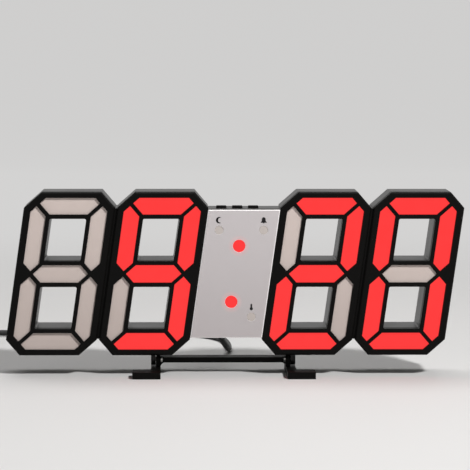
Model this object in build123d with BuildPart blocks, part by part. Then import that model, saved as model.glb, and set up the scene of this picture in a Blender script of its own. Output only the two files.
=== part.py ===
"""Digital LED desk clock: four open seven-segment digits either side of a colon panel, on a hinged stand.

Millimetres. X runs across the face, Y into the depth and Z up. The origin is on the table, under the
middle of the stand's rails. The face leans sideways like an italic figure, by the value called slant.
"""
import os
from math import pi, radians, sqrt, tan

from build123d import *

os.makedirs("parts", exist_ok=True)

# Digits, measured upright before the slant is added
slant = 0.14
digit_pitch = 43.46
digit_gap = 1.06
digit_half_height = 38.2
digit_corner = 7.3
border_side = 3.25
border_top = 2.6
stroke_side = 7.5
stroke_bar = 7.9
middle_bar = 8.3
window_corner = 6.4
window_gap = 1.7
hole_rim = 1.9
hole_corner = 0.8
hole_draft = 0.6

# Centre bay and its panel
bay_width = 32.7
bay_half_height = 30.1
bay_overlap = 6.0
bridge_half_width = 4.0
bridge_notch = 0.3
panel_thickness = 1.2
panel_bevel = 0.4
colon_radius = 2.85
colon_height = 13.1
indicator_radius = 1.95
indicator_x = 10.4
indicator_drop = 9.6
indicator_lift = 9.9

# Case, with depths counted back from the front face
face_y = -7.0
case_depth = 26.6
plate_thickness = 2.6
bay_step = 1.4
parting_depth = 6.0
parting_groove = 0.4
front_wall = 1.4
rear_side_wall = 1.6
rear_wall = 2.4
lip_wall = 0.9
lip_reach = 1.2
lip_root = 1.6
face_chamfer = 0.7
back_chamfer = 1.0
tube_wall = 1.3
stand_clearance = 9.6

# Lenses, light boxes and lamp boards
lens_recess = 1.0
lens_flange = 0.8
lens_flange_edge = 0.5
tunnel_inset = 0.7
box_depth = 8.6
board_thickness = 1.4
lamp_length = 3.2
lamp_width = 2.4
lamp_height = 1.2
lamp_spread = 9.0
post_radius = 1.8
post_height = 20.0
link_width = 5.0
link_thickness = 0.6
link_overlap = 9.0

# Main board and what it carries
main_board_half_width = 13.9
main_board_margin = 2.9
main_board_thickness = 1.6
main_board_depth = 8.0
boss_radius = 2.3
pilot_radius = 0.85
pilot_cover = 1.9
screw_radius = 0.8
screw_clear_radius = 1.0
screw_head_radius = 1.7
screw_head_height = 1.2
board_screw_inset = 1.9
board_screw_edge = 2.0
board_screw_drop = 17.1
chip_size = (10.0, 8.0, 1.6)
chip_place = (0.0, 6.0)
chip_bevel = 0.1
crystal_size = (3.2, 8.0, 2.4)
crystal_place = (5.0, -8.0)
buzzer_radius = 4.5
buzzer_height = 4.4
buzzer_hole_radius = 0.9
buzzer_hole_depth = 1.5
buzzer_place = (-6.0, -7.0)
sensor_radius = 0.9
sensor_height = 3.0
sensor_edge = 0.45
sensor_x = 4.0
sensor_rise = 4.2

# Push buttons on top of the bay
button_width = 4.8
button_depth = 3.2
button_proud = 1.1
button_spacing = 7.5
button_shift = -3.0
button_place = 13.0
button_flange = 0.7
button_flange_thickness = 1.0
button_stem_radius = 1.4
button_stem_length = 0.7
button_travel = 0.6
button_edge = 0.4
switch_size = (6.0, 5.6, 5.0)
switch_stem_radius = 1.5
switch_stem_length = 1.0

# Back of the case
cell_radius = 10.0
cell_thickness = 3.2
cell_edge = 0.3
cell_drop = 2.9
holder_wall = 1.6
holder_floor = 1.2
door_margin = 0.6
door_top_margin = 2.6
door_run_out = 0.8
door_plate = 0.8
door_tongue = 0.8
door_tongue_reach = 0.9
door_grip_pitch = 1.8
door_grip_depth = 0.3
jack_size = (9.0, 7.0, 9.6)
jack_x = -17.5
jack_rise = 10.1
jack_bore_radius = 1.95
jack_mouth_radius = 3.0
keyhole_radius = 3.0
keyhole_slot_width = 3.4
keyhole_rise = 4.6
keyhole_height = 30.8
case_screw_places = ((-1, -14.0), (-1, 14.0), (1, -14.0), (1, 14.0))
bay_screw_places = ((-1, -6.0), (-1, 9.0), (1, -6.0), (1, 9.0))

# Stand
rail_length = 40.0
rail_height = 3.2
leg_half_gap = 29.5
leg_width = 4.5
tab_reach = 8.6
tab_depth = 11.0
crossbar_front = 13.2
crossbar_depth = 9.0
crossbar_low = 4.5
crossbar_thickness = 2.5
crossbar_fillet = 2.0
hinge_depth = 11.0
hinge_height = 6.5
hinge_ear_radius = 2.7
hinge_pin_radius = 1.0
hinge_head_radius = 1.5
hinge_head_height = 0.8
lap_gap = 0.2
rail_fillet = 0.8

# Supply lead
cord_diameter = 3.0
relief_wall = 0.3
plug_gap = 0.3
plug_radius = 4.0
plug_length = 9.0
plug_relief = 8.0
plug_relief_radius = 3.0
plug_edge = 0.6
plug_barrel_radius = 1.75
plug_bore_radius = 0.65
plug_barrel_length = 7.5
coil_radius = 24.6
coil_step = 3.5
coil_layer_step = 3.45
coil_half_turns = 8
coil_centre_x = -144.5
coil_start_y = 148.0
coil_floor_gap = 0.6
coil_tail = 13.0
tie_width = 5.0
tie_thickness = 0.4
tie_edge = 0.7
usb_size = (15.6, 24.0, 8.4)
usb_shell_size = (12.0, 12.0, 4.5)
usb_relief = 9.0
usb_relief_radius = 2.7
usb_edge = 2.1
usb_shell_wall = 0.3
usb_tongue = 1.9
usb_floor_gap = 0.2

# Clearances
slip = 0.1
loose = 0.3
running = 0.05

# Places that follow from the sizes above
mid_height = stand_clearance + digit_half_height
colon_places = ((0, colon_height), (0, -colon_height))
indicator_high = bay_half_height - indicator_drop
indicator_low = indicator_lift - bay_half_height
indicator_top = [(x, indicator_high) for x in (-indicator_x, indicator_x)]
indicator_places = (*indicator_top, (indicator_x, indicator_low))
back_y = face_y + case_depth
digit_half_width = (digit_pitch - digit_gap) / 2
inner_digit = bay_width / 2 + digit_pitch / 2
digit_centres = [-inner_digit - digit_pitch, -inner_digit, inner_digit, inner_digit + digit_pitch]
digit_names = ("hour_tens", "hour_units", "minute_tens", "minute_units")
bridge_centre = bay_width / 2 + digit_pitch
bridge_half_height = digit_half_height - digit_corner - bridge_notch
bay_half_width = (bay_width + digit_gap) / 2
window_x_out = digit_half_width - border_side
window_x_in = window_x_out - stroke_side
window_z_out = digit_half_height - border_top
window_z_in = window_z_out - stroke_bar
hole_half_width = window_x_in - hole_rim
hole_top = window_z_in - hole_rim
hole_bottom = middle_bar / 2 + hole_rim
cover_front = parting_depth + parting_groove
box_front = plate_thickness + lens_flange
board_front = box_front + box_depth
board_back = board_front + board_thickness
main_back = main_board_depth + main_board_thickness
main_board_half_height = bay_half_height - main_board_margin
board_screw_x = main_board_half_width - board_screw_inset
board_screw_foot = board_screw_edge - main_board_half_height
board_screw_rows = (bay_half_height - board_screw_drop, board_screw_foot)
board_screw_places = [(x, z) for x in (-board_screw_x, board_screw_x) for z in board_screw_rows]
sensor_place = (sensor_x, sensor_rise - main_board_half_height)
cell_place = (0, cell_drop + rear_side_wall + cell_radius + holder_wall - bay_half_height)
jack_place = (jack_x, jack_rise - bay_half_height)
inner_back = case_depth - rear_wall
stand_x = -slant * digit_half_height
leg_outside = leg_half_gap + leg_width
lap_plane = leg_half_gap + leg_width / 2
hinge_y = face_y + hinge_depth
lit_segments = dict(zip(digit_names, ("", "abcdfg", "abdeg", "abcdef")))


def at_depth(depth):
    """The plane parallel to the face, so far back, with its own normal towards the viewer."""
    return Plane(origin=(0, face_y + depth, mid_height), x_dir=(1, 0, 0), z_dir=(0, -1, 0))


def lean(x, z):
    """A point of the upright layout, moved over by the slant."""
    return (x + slant * z, z)


def leaning_polygon(corners, centre=0.0, mode=Mode.ADD):
    """One polygon of the sketch in hand, drawn upright about its centre and then slanted."""
    return Polygon(*[lean(centre + x, z) for x, z in corners], align=None, mode=mode)


def oblong(half_width, low, high):
    """The corners of an upright rectangle about x = 0."""
    return [(-half_width, low), (half_width, low), (half_width, high), (-half_width, high)]


def grown(corners, amount):
    """A convex outline with each side moved out by the amount, or in where it is negative."""
    area = sum(a[0] * b[1] - b[0] * a[1] for a, b in zip(corners, corners[1:] + corners[:1]))
    turn = 1 if area > 0 else -1
    lines = []
    for a, b in zip(corners, corners[1:] + corners[:1]):
        run = Vector(b[0] - a[0], b[1] - a[1])
        out = Vector(run.Y, -run.X).normalized() * turn
        lines.append((Vector(*a) + out * amount, run))
    moved = []
    for (p, u), (q, v) in zip(lines[-1:] + lines[:-1], lines):
        share = ((q.X - p.X) * v.Y - (q.Y - p.Y) * v.X) / (u.X * v.Y - u.Y * v.X)
        moved.append((p.X + u.X * share, p.Y + u.Y * share))
    return moved


def digit_corners(amount=0.0):
    """The eight corners of a digit's outline, grown by the amount."""
    cut = digit_half_width - digit_corner
    side = digit_half_height - digit_corner
    upper_right = [(digit_half_width, side), (cut, digit_half_height)]
    right = [(x, -z) for x, z in reversed(upper_right)] + upper_right
    left = [(-x, z) for x, z in reversed(right)]
    return grown(right + left, amount)


def window_corners(segment, amount=0.0):
    """The corners of one of the seven windows, named a to g as on any seven-segment figure."""
    corner_x = window_x_out - window_corner / 2
    corner_z = window_z_out - window_corner / 2
    half = window_gap / (2 * sqrt(2))
    tip_x = (window_x_out + window_x_in) / 2
    tip_z = window_gap / sqrt(2)
    bar_end = corner_x - half - (corner_z + half - window_z_in)
    bar_start = window_x_out - window_corner
    bar = [(bar_start, window_z_out), (corner_x - half, corner_z + half), (bar_end, window_z_in)]
    top = bar + [(-x, z) for x, z in reversed(bar)]
    side = [
        (corner_x + half, corner_z - half),
        (window_x_out, window_z_out - window_corner),
        (window_x_out, tip_z + window_x_out - tip_x),
        (tip_x, tip_z),
        (window_x_in, tip_z + tip_x - window_x_in),
        (window_x_in, corner_z - half - (corner_x + half - window_x_in)),
    ]
    point = tip_x - window_gap / sqrt(2)
    half_bar = middle_bar / 2
    shoulder = point - half_bar
    middle = [(point, 0), (shoulder, half_bar), (-shoulder, half_bar)]
    middle += [(-x, -z) for x, z in middle]
    shapes = {
        "a": top,
        "b": side,
        "c": [(x, -z) for x, z in side],
        "d": [(x, -z) for x, z in top],
        "e": [(-x, -z) for x, z in side],
        "f": [(-x, z) for x, z in side],
        "g": middle,
    }
    return grown(shapes[segment], amount)


def hole_corners(amount=0.0, upper=True):
    """The corners of a digit's upper or lower through-hole, grown by the amount."""
    low, high = (hole_bottom, hole_top) if upper else (-hole_top, -hole_bottom)
    return oblong(hole_half_width + amount, low - amount, high + amount)


def case_outline(amount=0.0):
    """The whole case's outline: four digits, the bay between the pairs and the bridge within each pair."""
    for centre in digit_centres:
        leaning_polygon(digit_corners(amount), centre)
    bay_ends = (-bay_half_height - amount, bay_half_height + amount)
    leaning_polygon(oblong(bay_half_width + bay_overlap, *bay_ends))
    for side in (-1, 1):
        ends = (-bridge_half_height - amount, bridge_half_height + amount)
        leaning_polygon(oblong(bridge_half_width, *ends), side * bridge_centre)


def all_holes(amount=0.0):
    """The eight through-holes of the digits, grown by the amount."""
    for centre in digit_centres:
        for upper in (True, False):
            leaning_polygon(hole_corners(amount, upper), centre)


def ring_outline(centre, outer, inner):
    """A digit's outline less its two holes, for what fills the digit inside."""
    leaning_polygon(digit_corners(outer), centre)
    for upper in (True, False):
        leaning_polygon(hole_corners(inner, upper), centre, mode=Mode.SUBTRACT)


def case_screw_points():
    """Where the case screws go: two in each bridge and two at each side of the bay."""
    points = [lean(side * bridge_centre, z) for side, z in case_screw_places]
    bay_x = main_board_half_width + boss_radius + loose
    return points + [lean(side * bay_x, z) for side, z in bay_screw_places]


def board_screw_points():
    """Where the main board is screwed to the front frame."""
    return [lean(x, z) for x, z in board_screw_places]


def finish_part(part, name):
    """Labels a finished piece and writes it under the same name."""
    part.label = name
    export_step(part, f"parts/{name}.step")


# Front frame: digit plates with their windows, a stepped-back bay, a skirt and the screw bosses
with BuildPart() as front_frame:
    with BuildSketch(at_depth(parting_depth)):
        case_outline()
    extrude(amount=parting_depth - bay_step)
    with BuildSketch(at_depth(bay_step)):
        for centre in digit_centres:
            leaning_polygon(digit_corners(), centre)
    extrude(amount=bay_step)
    chamfer(front_frame.faces().group_by(Axis.Y)[0].edges(), length=face_chamfer)
    with BuildSketch(at_depth(parting_depth)):
        case_outline(-front_wall)
    extrude(amount=parting_depth - plate_thickness, mode=Mode.SUBTRACT)
    with BuildSketch(at_depth(parting_depth)):
        all_holes(tube_wall)
    extrude(amount=parting_depth - plate_thickness)
    with BuildSketch(at_depth(main_board_depth)):
        with Locations(*case_screw_points(), *board_screw_points()):
            Circle(boss_radius)
    extrude(amount=main_board_depth - plate_thickness)
    with BuildSketch(at_depth(main_board_depth)):
        with Locations(*case_screw_points(), *board_screw_points()):
            Circle(pilot_radius)
    extrude(amount=main_board_depth - plate_thickness - pilot_cover, mode=Mode.SUBTRACT)
    with BuildSketch(at_depth(plate_thickness)):
        for centre in digit_centres:
            for segment in "abcdefg":
                leaning_polygon(window_corners(segment), centre)
        with Locations(*[lean(x, z) for x, z in colon_places]):
            Circle(colon_radius + slip)
        with Locations(*[lean(x, z) for x, z in indicator_places]):
            Circle(indicator_radius + slip)
    extrude(amount=plate_thickness, mode=Mode.SUBTRACT)
    with BuildSketch(at_depth(parting_depth)):
        all_holes()
        fillet(vertices(), radius=hole_corner)
    extrude(amount=parting_depth, mode=Mode.SUBTRACT)
finish_part(front_frame.part, "front_frame")

# Rear cover: side walls, hole tubes, screw bosses, board posts, hinge lugs and the openings of the back
door_half_width = cell_radius + holder_wall + door_margin
door_low = -bay_half_height
door_high = cell_place[1] + cell_radius + holder_wall + door_top_margin
slot_low = min(door_low, digit_corner - digit_half_height) - door_run_out
button_x = slant * bay_half_height + button_shift
with BuildPart() as rear_cover:
    with BuildSketch(at_depth(case_depth)):
        case_outline()
    extrude(amount=case_depth - cover_front)
    chamfer(rear_cover.faces().sort_by(Axis.Y)[-1].edges(), length=back_chamfer)
    with BuildSketch(at_depth(inner_back)):
        case_outline(-rear_side_wall)
    extrude(amount=inner_back - cover_front, mode=Mode.SUBTRACT)
    with BuildSketch(at_depth(cover_front + lip_root)):
        case_outline(-front_wall - slip)
    with BuildSketch(at_depth(cover_front + lip_root), mode=Mode.PRIVATE) as lip_inside:
        case_outline(-front_wall - slip - lip_wall)
    extrude(amount=lip_root + parting_groove + lip_reach)
    extrude(lip_inside.sketch, amount=lip_root + parting_groove + lip_reach, mode=Mode.SUBTRACT)
    with BuildSketch(at_depth(case_depth)):
        all_holes(tube_wall)
    extrude(amount=case_depth - parting_depth)
    with BuildSketch(at_depth(inner_back)):
        with Locations(*case_screw_points()):
            Circle(boss_radius)
    extrude(amount=inner_back - main_board_depth)
    with BuildSketch(at_depth(inner_back)):
        for centre in digit_centres:
            middle_x = (window_x_out + window_x_in) / 2
            posts = [(x * middle_x, z * post_height) for x in (-1, 1) for z in (-1, 1)]
            with Locations(*[lean(centre + x, z) for x, z in posts]):
                Circle(post_radius)
    extrude(amount=inner_back - board_back)
    for side in (-1, 1):
        with BuildSketch(Plane.YZ.offset(stand_x + side * (lap_plane + leg_outside + lap_gap / 2) / 2)):
            with Locations((hinge_y, hinge_height)):
                Circle(hinge_ear_radius)
            with Locations((hinge_y, hinge_height)):
                rise = stand_clearance + rear_side_wall - hinge_height
                Rectangle(2 * hinge_ear_radius, rise, align=(Align.CENTER, Align.MIN))
        extrude(amount=(leg_outside - lap_plane - lap_gap / 2) / 2, both=True)
    with BuildSketch(Plane.YZ):
        with Locations((hinge_y, hinge_height)):
            Circle(hinge_pin_radius)
    extrude(amount=bridge_centre, both=True, mode=Mode.SUBTRACT)
    with BuildSketch(at_depth(parting_depth)):
        all_holes()
        fillet(vertices(), radius=hole_corner)
    extrude(amount=parting_depth - case_depth, taper=hole_draft, mode=Mode.SUBTRACT)
    with BuildSketch(at_depth(case_depth)):
        with Locations(*case_screw_points()):
            Circle(screw_clear_radius)
        with Locations(jack_place):
            Circle(jack_mouth_radius)
        with Locations(cell_place):
            Circle(cell_radius + slip)
    extrude(amount=case_depth - main_board_depth, mode=Mode.SUBTRACT)
    with BuildSketch(at_depth(case_depth)):
        with Locations(*case_screw_points()):
            Circle(screw_head_radius + loose)
    extrude(amount=screw_head_height, mode=Mode.SUBTRACT)
    with BuildSketch(at_depth(case_depth)):
        for centre in digit_centres[1:3]:
            with Locations(lean(centre, keyhole_height)):
                Circle(keyhole_radius)
                Rectangle(keyhole_slot_width, keyhole_rise, align=(Align.CENTER, Align.MIN))
    extrude(amount=rear_wall, mode=Mode.SUBTRACT)
    with BuildSketch(at_depth(case_depth)):
        with Locations((cell_place[0], slot_low)):
            Rectangle(2 * door_half_width, door_high - slot_low, align=(Align.CENTER, Align.MIN))
    extrude(amount=door_plate + door_tongue, mode=Mode.SUBTRACT)
    with BuildSketch(at_depth(case_depth - door_plate)):
        with Locations((cell_place[0], slot_low)):
            wide = 2 * (door_half_width + door_tongue_reach)
            Rectangle(wide, door_high - slot_low, align=(Align.CENTER, Align.MIN))
    extrude(amount=door_tongue, mode=Mode.SUBTRACT)
    with BuildSketch(Plane.XY.offset(mid_height + bay_half_height)):
        with Locations(*[(button_x + n * button_spacing, face_y + button_place) for n in (-1, 0, 1)]):
            Rectangle(button_width + 2 * slip, button_depth + 2 * slip)
    extrude(amount=-rear_side_wall, mode=Mode.SUBTRACT)
finish_part(rear_cover.part, "rear_cover")

# Colon panel with its bevelled edge, resting on the stepped-back bay
with BuildPart() as centre_panel:
    with BuildSketch(at_depth(bay_step)):
        leaning_polygon(oblong(bay_half_width - slip, slip - bay_half_height, bay_half_height - slip))
    extrude(amount=panel_thickness)
    chamfer(centre_panel.faces().sort_by(Axis.Y)[0].edges(), length=panel_bevel)
    with BuildSketch(at_depth(bay_step)):
        with Locations(*[lean(x, z) for x, z in colon_places]):
            Circle(colon_radius + slip)
        with Locations(*[lean(x, z) for x, z in indicator_places]):
            Circle(indicator_radius + slip)
    extrude(amount=panel_thickness, mode=Mode.SUBTRACT)
finish_part(centre_panel.part, "centre_panel")

# Round lenses of the panel: the colon's two dots and the three indicators, each with a flange behind
for name, radius, places in (
    ("colon_lenses", colon_radius, colon_places),
    ("indicator_lenses", indicator_radius, indicator_places),
):
    with BuildPart() as round_lenses:
        with BuildSketch(at_depth(plate_thickness + lens_flange)):
            with Locations(*[lean(x, z) for x, z in places]):
                Circle(radius + lens_flange)
        extrude(amount=lens_flange)
        with BuildSketch(at_depth(plate_thickness)):
            with Locations(*[lean(x, z) for x, z in places]):
                Circle(radius)
        extrude(amount=plate_thickness - bay_step + panel_thickness)
    finish_part(round_lenses.part, name)

# Each digit's lenses, in lit and unlit groups, then its light box, lamp board and lamps
for name, centre in zip(digit_names, digit_centres):
    lit = lit_segments[name]
    unlit = "".join(segment for segment in "abcdefg" if segment not in lit)
    for group, ending in ((lit, "lit"), (unlit, "unlit")):
        if not group:
            continue
        with BuildPart() as lenses:
            with BuildSketch(at_depth(box_front)):
                for segment in group:
                    leaning_polygon(window_corners(segment, lens_flange_edge), centre)
            extrude(amount=lens_flange)
            with BuildSketch(at_depth(plate_thickness)):
                for segment in group:
                    leaning_polygon(window_corners(segment, -slip), centre)
            extrude(amount=plate_thickness - lens_recess)
        finish_part(lenses.part, f"{name}_lenses_{ending}")

    inside = -front_wall - slip - lip_wall - loose
    with BuildPart() as light_box:
        with BuildSketch(at_depth(board_front)):
            ring_outline(centre, inside, tube_wall + loose)
            for segment in "abcdefg":
                leaning_polygon(window_corners(segment, -tunnel_inset), centre, mode=Mode.SUBTRACT)
        extrude(amount=box_depth)
    finish_part(light_box.part, f"{name}_light_box")

    with BuildPart() as lamp_board:
        with BuildSketch(at_depth(board_back)):
            ring_outline(centre, inside, tube_wall + loose)
        extrude(amount=board_thickness)
    finish_part(lamp_board.part, f"{name}_lamp_board")

    bar_z = (window_z_out + window_z_in) / 2
    side_x = (window_x_out + window_x_in) / 2
    side_z = (window_z_out + window_x_out - side_x) / 2
    ends = (-lamp_spread / 2, lamp_spread / 2)
    across = [(x, z) for x in ends for z in (-bar_z, 0, bar_z)]
    upright = [(x, z + end) for x in (-side_x, side_x) for z in (-side_z, side_z) for end in ends]
    with BuildPart() as lamps:
        with BuildSketch(at_depth(board_front)):
            with Locations(*[lean(centre + x, z) for x, z in across]):
                Rectangle(lamp_length, lamp_width)
            with Locations(*[lean(centre + x, z) for x, z in upright]):
                Rectangle(lamp_width, lamp_length)
        extrude(amount=lamp_height)
    finish_part(lamps.part, f"{name}_lamps")

# Main board behind the panel
with BuildPart() as main_board:
    with BuildSketch(at_depth(main_back)):
        leaning_polygon(oblong(main_board_half_width, -main_board_half_height, main_board_half_height))
        with Locations(*board_screw_points()):
            Circle(screw_clear_radius, mode=Mode.SUBTRACT)
    extrude(amount=main_board_thickness)
finish_part(main_board.part, "main_board")

# Lamps of the panel, on the front of the main board
with BuildPart() as panel_lamps:
    with BuildSketch(at_depth(main_board_depth)):
        with Locations(*[lean(x, z) for x, z in (*colon_places, *indicator_places)]):
            Rectangle(lamp_length, lamp_width)
    extrude(amount=lamp_height)
finish_part(panel_lamps.part, "panel_lamps")

# Clock chip and timing crystal, on the back of the main board
for name, size, place in (
    ("clock_chip", chip_size, chip_place),
    ("timing_crystal", crystal_size, crystal_place),
):
    with BuildPart() as block:
        with BuildSketch(at_depth(main_back + size[2])):
            with Locations(lean(*place)):
                Rectangle(size[0], size[1])
        extrude(amount=size[2])
        chamfer(block.faces().sort_by(Axis.Y)[-1].edges(), length=chip_bevel)
    finish_part(block.part, name)

# Buzzer with its sound hole, and the temperature sensor's bead
with BuildPart() as buzzer:
    with BuildSketch(at_depth(main_back + buzzer_height)):
        with Locations(lean(*buzzer_place)):
            Circle(buzzer_radius)
    extrude(amount=buzzer_height)
    with BuildSketch(at_depth(main_back + buzzer_height)):
        with Locations(lean(*buzzer_place)):
            Circle(buzzer_hole_radius)
    extrude(amount=buzzer_hole_depth, mode=Mode.SUBTRACT)
finish_part(buzzer.part, "buzzer")

with BuildPart() as temperature_sensor:
    with BuildSketch(at_depth(main_back + sensor_height)):
        with Locations(lean(*sensor_place)):
            Circle(sensor_radius)
    extrude(amount=sensor_height)
    fillet(temperature_sensor.edges().group_by(Axis.Y)[-1], radius=sensor_edge)
finish_part(temperature_sensor.part, "temperature_sensor")

# Push switches on the main board, under the three buttons
flange_top = mid_height + bay_half_height - rear_side_wall - loose
button_foot = flange_top - button_flange_thickness - button_stem_length
switch_top = button_foot - button_travel - loose
button_xs = [button_x + n * button_spacing for n in (-1, 0, 1)]
with BuildPart() as push_switches:
    with BuildSketch(Plane.XY.offset(switch_top - switch_stem_length - switch_size[2])):
        with Locations(*[(x, face_y + main_back + switch_size[1] / 2) for x in button_xs]):
            Rectangle(switch_size[0], switch_size[1])
    extrude(amount=switch_size[2])
    with BuildSketch(Plane.XY.offset(switch_top - switch_stem_length)):
        with Locations(*[(x, face_y + button_place) for x in button_xs]):
            Circle(switch_stem_radius)
    extrude(amount=switch_stem_length)
finish_part(push_switches.part, "push_switches")

# The three push buttons, each with a flange under the top wall and a stem over its switch
for name, x in zip(("set_button", "up_button", "down_button"), button_xs):
    with BuildPart() as button:
        with BuildSketch(Plane.XY.offset(flange_top - button_flange_thickness)):
            with Locations((x, face_y + button_place)):
                Rectangle(button_width + 2 * button_flange, button_depth + 2 * button_flange)
        extrude(amount=button_flange_thickness)
        with BuildSketch(Plane.XY.offset(flange_top)):
            with Locations((x, face_y + button_place)):
                Rectangle(button_width, button_depth)
        extrude(amount=loose + rear_side_wall + button_proud)
        fillet(button.faces().sort_by(Axis.Z)[-1].edges(), radius=button_edge)
        with BuildSketch(Plane.XY.offset(button_foot)):
            with Locations((x, face_y + button_place)):
                Circle(button_stem_radius)
        extrude(amount=button_stem_length)
    finish_part(button.part, name)

# Flat leads that link the lamp boards within each pair, and each pair with the main board
plug_reach = main_board_half_width - link_width
with BuildPart() as link_leads:
    with BuildSketch(at_depth(board_back + link_thickness)):
        for side in (-1, 1):
            with Locations((side * bridge_centre, 0)):
                Rectangle(digit_gap + 2 * link_overlap, link_width)
            far = bay_half_width + link_overlap
            with Locations((side * (far + plug_reach) / 2, 0)):
                Rectangle(far - plug_reach, link_width)
    extrude(amount=link_thickness)
    with BuildSketch(at_depth(board_back)):
        for side in (-1, 1):
            with Locations((side * (plug_reach + link_width / 4), 0)):
                Rectangle(link_width / 2, link_width)
    extrude(amount=board_back - main_back)
finish_part(link_leads.part, "link_leads")

# Case screws from the back and board screws into the front frame's bosses
with BuildPart() as case_screws:
    with BuildSketch(at_depth(case_depth)):
        with Locations(*case_screw_points()):
            Circle(screw_head_radius)
    extrude(amount=screw_head_height)
    with BuildSketch(at_depth(case_depth - screw_head_height)):
        with Locations(*case_screw_points()):
            Circle(screw_radius)
    extrude(amount=case_depth - screw_head_height - plate_thickness - pilot_cover - loose)
finish_part(case_screws.part, "case_screws")

with BuildPart() as board_screws:
    with BuildSketch(at_depth(main_back + screw_head_height)):
        with Locations(*board_screw_points()):
            Circle(screw_head_radius)
    extrude(amount=screw_head_height)
    with BuildSketch(at_depth(main_back)):
        with Locations(*board_screw_points()):
            Circle(screw_radius)
    extrude(amount=main_back - plate_thickness - pilot_cover - loose)
finish_part(board_screws.part, "board_screws")

# Backup cell in its cup behind the back wall, under a door that slides down and off
with BuildPart() as cell_holder:
    with BuildSketch(at_depth(inner_back)):
        with Locations(cell_place):
            Circle(cell_radius + holder_wall)
    extrude(amount=cell_thickness + holder_floor)
    with BuildSketch(at_depth(inner_back)):
        with Locations(cell_place):
            Circle(cell_radius + slip)
    extrude(amount=cell_thickness, mode=Mode.SUBTRACT)
finish_part(cell_holder.part, "cell_holder")

with BuildPart() as backup_cell:
    with BuildSketch(at_depth(inner_back)):
        with Locations(cell_place):
            Circle(cell_radius)
    extrude(amount=cell_thickness)
    fillet(backup_cell.edges(), radius=cell_edge)
finish_part(backup_cell.part, "backup_cell")

door_length = door_high - door_low - slip
with BuildPart() as cell_door:
    with BuildSketch(at_depth(case_depth - door_plate - slip)):
        with Locations((cell_place[0], door_low)):
            wide = 2 * (door_half_width + door_tongue_reach - slip)
            Rectangle(wide, door_length, align=(Align.CENTER, Align.MIN))
    extrude(amount=door_tongue - 2 * slip)
    with BuildSketch(at_depth(case_depth)):
        with Locations((cell_place[0], door_low)):
            Rectangle(2 * (door_half_width - slip), door_length, align=(Align.CENTER, Align.MIN))
    extrude(amount=door_plate + slip)
    with BuildSketch(at_depth(case_depth)):
        with Locations((cell_place[0], door_low + door_length / 4)):
            with GridLocations(0, door_grip_pitch, 1, 4):
                Rectangle(door_half_width, door_grip_pitch / 2)
    extrude(amount=door_grip_depth, mode=Mode.SUBTRACT)
finish_part(cell_door.part, "cell_door")

# Supply socket behind its hole in the back wall
with BuildPart() as supply_socket:
    with BuildSketch(at_depth(inner_back)):
        with Locations(jack_place):
            Rectangle(jack_size[0], jack_size[1])
    extrude(amount=jack_size[2])
    with BuildSketch(at_depth(inner_back)):
        with Locations(jack_place):
            Circle(jack_bore_radius)
    extrude(amount=jack_size[2] - holder_floor, mode=Mode.SUBTRACT)
finish_part(supply_socket.part, "supply_socket")

# Stand: two rails with outward tabs, each with an ear on the hinge, joined by a flat crossbar
crossbar_y = face_y + crossbar_front
ear_width = leg_width / 2 - lap_gap / 2
with BuildPart() as stand:
    with BuildSketch(Plane.XY):
        for side in (-1, 1):
            with Locations((stand_x + side * (leg_half_gap + leg_width / 2), 0)):
                Rectangle(leg_width, rail_length)
            with Locations((stand_x + side * (leg_outside + tab_reach / 2), (tab_depth - rail_length) / 2)):
                Rectangle(tab_reach, tab_depth)
        fillet(vertices(), radius=rail_fillet)
    extrude(amount=rail_height)
    arch_plane = Plane(origin=(stand_x, crossbar_y + crossbar_depth, 0), x_dir=(1, 0, 0), z_dir=(0, -1, 0))
    with BuildSketch(arch_plane) as arch:
        foot = (Align.CENTER, Align.MIN)
        Rectangle(2 * (leg_half_gap + ear_width), crossbar_low + crossbar_thickness, align=foot)
        Rectangle(2 * leg_half_gap, crossbar_low, align=foot, mode=Mode.SUBTRACT)
        fillet(arch.vertices().group_by(Axis.Y)[1], radius=crossbar_fillet)
    extrude(amount=crossbar_depth)
    for side in (-1, 1):
        with BuildSketch(Plane.YZ.offset(stand_x + side * (leg_half_gap + ear_width / 2))):
            with Locations((hinge_y, hinge_height)):
                Circle(hinge_ear_radius)
            with Locations((hinge_y, 0)):
                Rectangle(2 * hinge_ear_radius, hinge_height, align=(Align.CENTER, Align.MIN))
        extrude(amount=ear_width / 2, both=True)
    with BuildSketch(Plane.YZ.offset(stand_x)):
        with Locations((hinge_y, hinge_height)):
            Circle(hinge_pin_radius + running)
    extrude(amount=leg_outside, both=True, mode=Mode.SUBTRACT)
finish_part(stand.part, "stand")

# Hinge pins, pressed in the lugs, with their heads on the inside of the legs
with BuildPart() as hinge_pins:
    for side in (-1, 1):
        with BuildSketch(Plane.YZ.offset(stand_x + side * leg_outside)):
            with Locations((hinge_y, hinge_height)):
                Circle(hinge_pin_radius)
        extrude(amount=-side * (leg_width + slip))
        with BuildSketch(Plane.YZ.offset(stand_x + side * (leg_half_gap - slip))):
            with Locations((hinge_y, hinge_height)):
                Circle(hinge_head_radius)
        extrude(amount=-side * hinge_head_height)
finish_part(hinge_pins.part, "hinge_pins")

# Supply plug: its metal barrel in the socket, then the moulded grip and tapered strain relief
jack_z = mid_height + jack_place[1]
plug_y = back_y + plug_gap
cord_radius = cord_diameter / 2
cord_start = plug_y + plug_length + plug_relief
plug_plane = Plane(origin=(jack_x, 0, jack_z))
with BuildPart() as plug_barrel:
    with BuildSketch(Plane(origin=(jack_x, plug_y, jack_z), x_dir=(1, 0, 0), z_dir=(0, -1, 0))):
        Circle(plug_barrel_radius)
        Circle(plug_bore_radius, mode=Mode.SUBTRACT)
    extrude(amount=plug_barrel_length)
finish_part(plug_barrel.part, "plug_barrel")

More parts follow.
